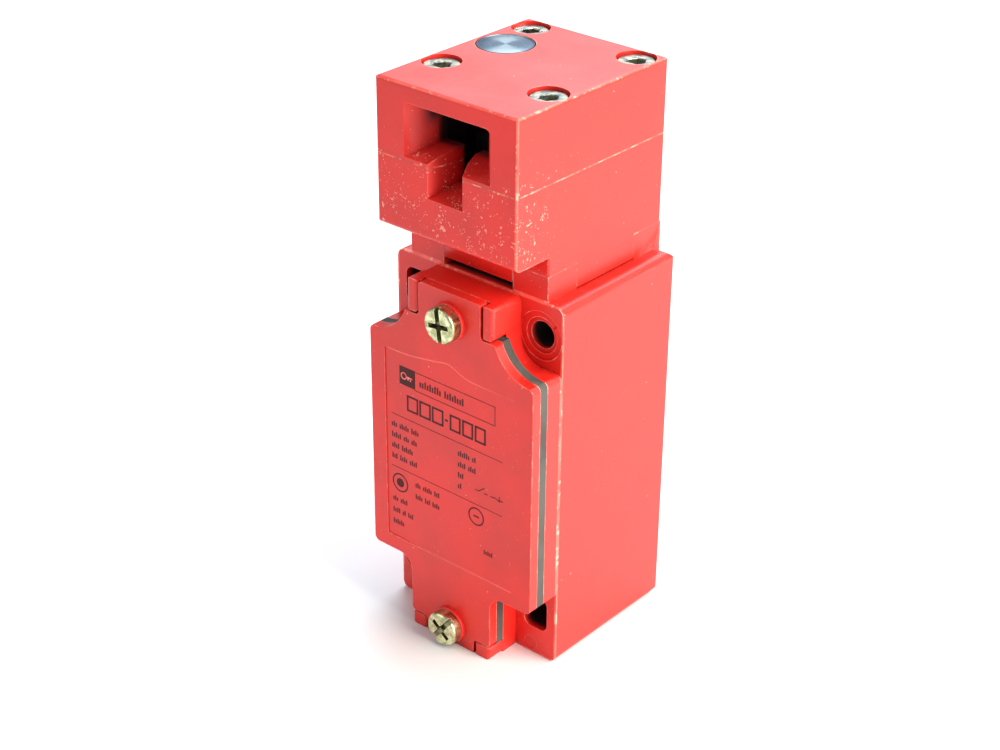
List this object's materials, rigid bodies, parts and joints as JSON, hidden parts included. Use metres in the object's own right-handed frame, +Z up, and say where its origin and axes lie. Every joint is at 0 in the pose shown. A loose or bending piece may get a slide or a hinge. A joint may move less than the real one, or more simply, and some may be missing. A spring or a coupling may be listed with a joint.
{
  "type": "key-operated safety limit switch",
  "caption": "Box-shaped limit switch: die-cast casing with a screwed cover over a contact block, and a square head whose slotted key opening turns a cam wheel.",
  "frame": {"origin": "centre of the cable entry's mouth in the bottom face, on the plunger's axis", "axes": "+X to the right seen from the front, -Y out of the cover, +Z up towards the head"},
  "size_m": [0.04, 0.0439, 0.1135],
  "materials": {
    "red_paint": "semi-gloss powder coat, chipped on the edges",
    "gasket_rubber": "matt grey sealing rubber",
    "plated_screw": "yellow passivated zinc plate",
    "zinc_screw": "dull zinc plate",
    "turned_steel": "turned",
    "spring_steel": "drawn wire",
    "black_plastic": "moulded, fine grain",
    "pale_plastic": "moulded",
    "contact_metal": "copper alloy with silver tips"
  },
  "bodies": {
    "housing": {"casing": "red_paint", "head_lower_housing": "red_paint", "head_upper_housing": "red_paint", "head_screws": "zinc_screw", "head_gasket": "gasket_rubber", "top_plug": "turned_steel", "cam_axle": "turned_steel", "plunger_spring": "spring_steel", "plunger_seal": "gasket_rubber", "retention_pin": "turned_steel", "retention_spring": "spring_steel", "contact_block_base": "black_plastic", "contact_block_front": "black_plastic", "carrier_spring": "spring_steel", "nc_fixed_contacts": "contact_metal", "no_fixed_contacts": "contact_metal", "terminal_screws": "zinc_screw", "terminal_clamps": "zinc_screw", "block_screws": "zinc_screw", "earth_screw": "plated_screw", "earth_clamp": "zinc_screw"},
    "cover": {"cover": "red_paint", "cover_gasket": "gasket_rubber"},
    "screw_top": {"cover_screw_top": "plated_screw"},
    "screw_bottom": {"cover_screw_bottom": "plated_screw"},
    "cam": {"cam_wheel": "black_plastic"},
    "plunger": {"head_plunger": "turned_steel"},
    "carrier": {"contact_carrier": "pale_plastic", "nc_bridge": "contact_metal", "no_bridge": "contact_metal", "bridge_springs": "spring_steel"}
  },
  "joints": [
    {"name": "cover_slide", "type": "slide", "parent": "housing", "child": "cover", "axis": [0, -1, 0], "range_m": [0, 0.025]},
    {"name": "cover_screw_top_turn", "type": "hinge", "parent": "cover", "child": "screw_top", "pos_m": [0, -0.0243, 0.0704], "axis": [0, -1, 0], "continuous": true},
    {"name": "cover_screw_bottom_turn", "type": "hinge", "parent": "cover", "child": "screw_bottom", "pos_m": [0, -0.0243, 0.0041], "axis": [0, -1, 0], "continuous": true},
    {"name": "plunger_slide", "type": "slide", "parent": "housing", "child": "plunger", "axis": [0, 0, 1], "range_m": [0, 0.00398], "deforming": ["plunger_spring"]},
    {"name": "cam_turn", "type": "hinge", "parent": "housing", "child": "cam", "pos_m": [0, 0, 0.0992], "axis": [-1, 0, 0], "range_deg": [0, 60]},
    {"name": "carrier_slide", "type": "slide", "parent": "housing", "child": "carrier", "axis": [0, 0, 1], "range_m": [0, 0.004], "deforming": ["carrier_spring"]}
  ],
  "couplings": [
    {"joint": "cam_turn", "follows": "plunger_slide", "rad_per_m": 263.16},
    {"joint": "carrier_slide", "follows": "plunger_slide", "ratio": 1}
  ]
}
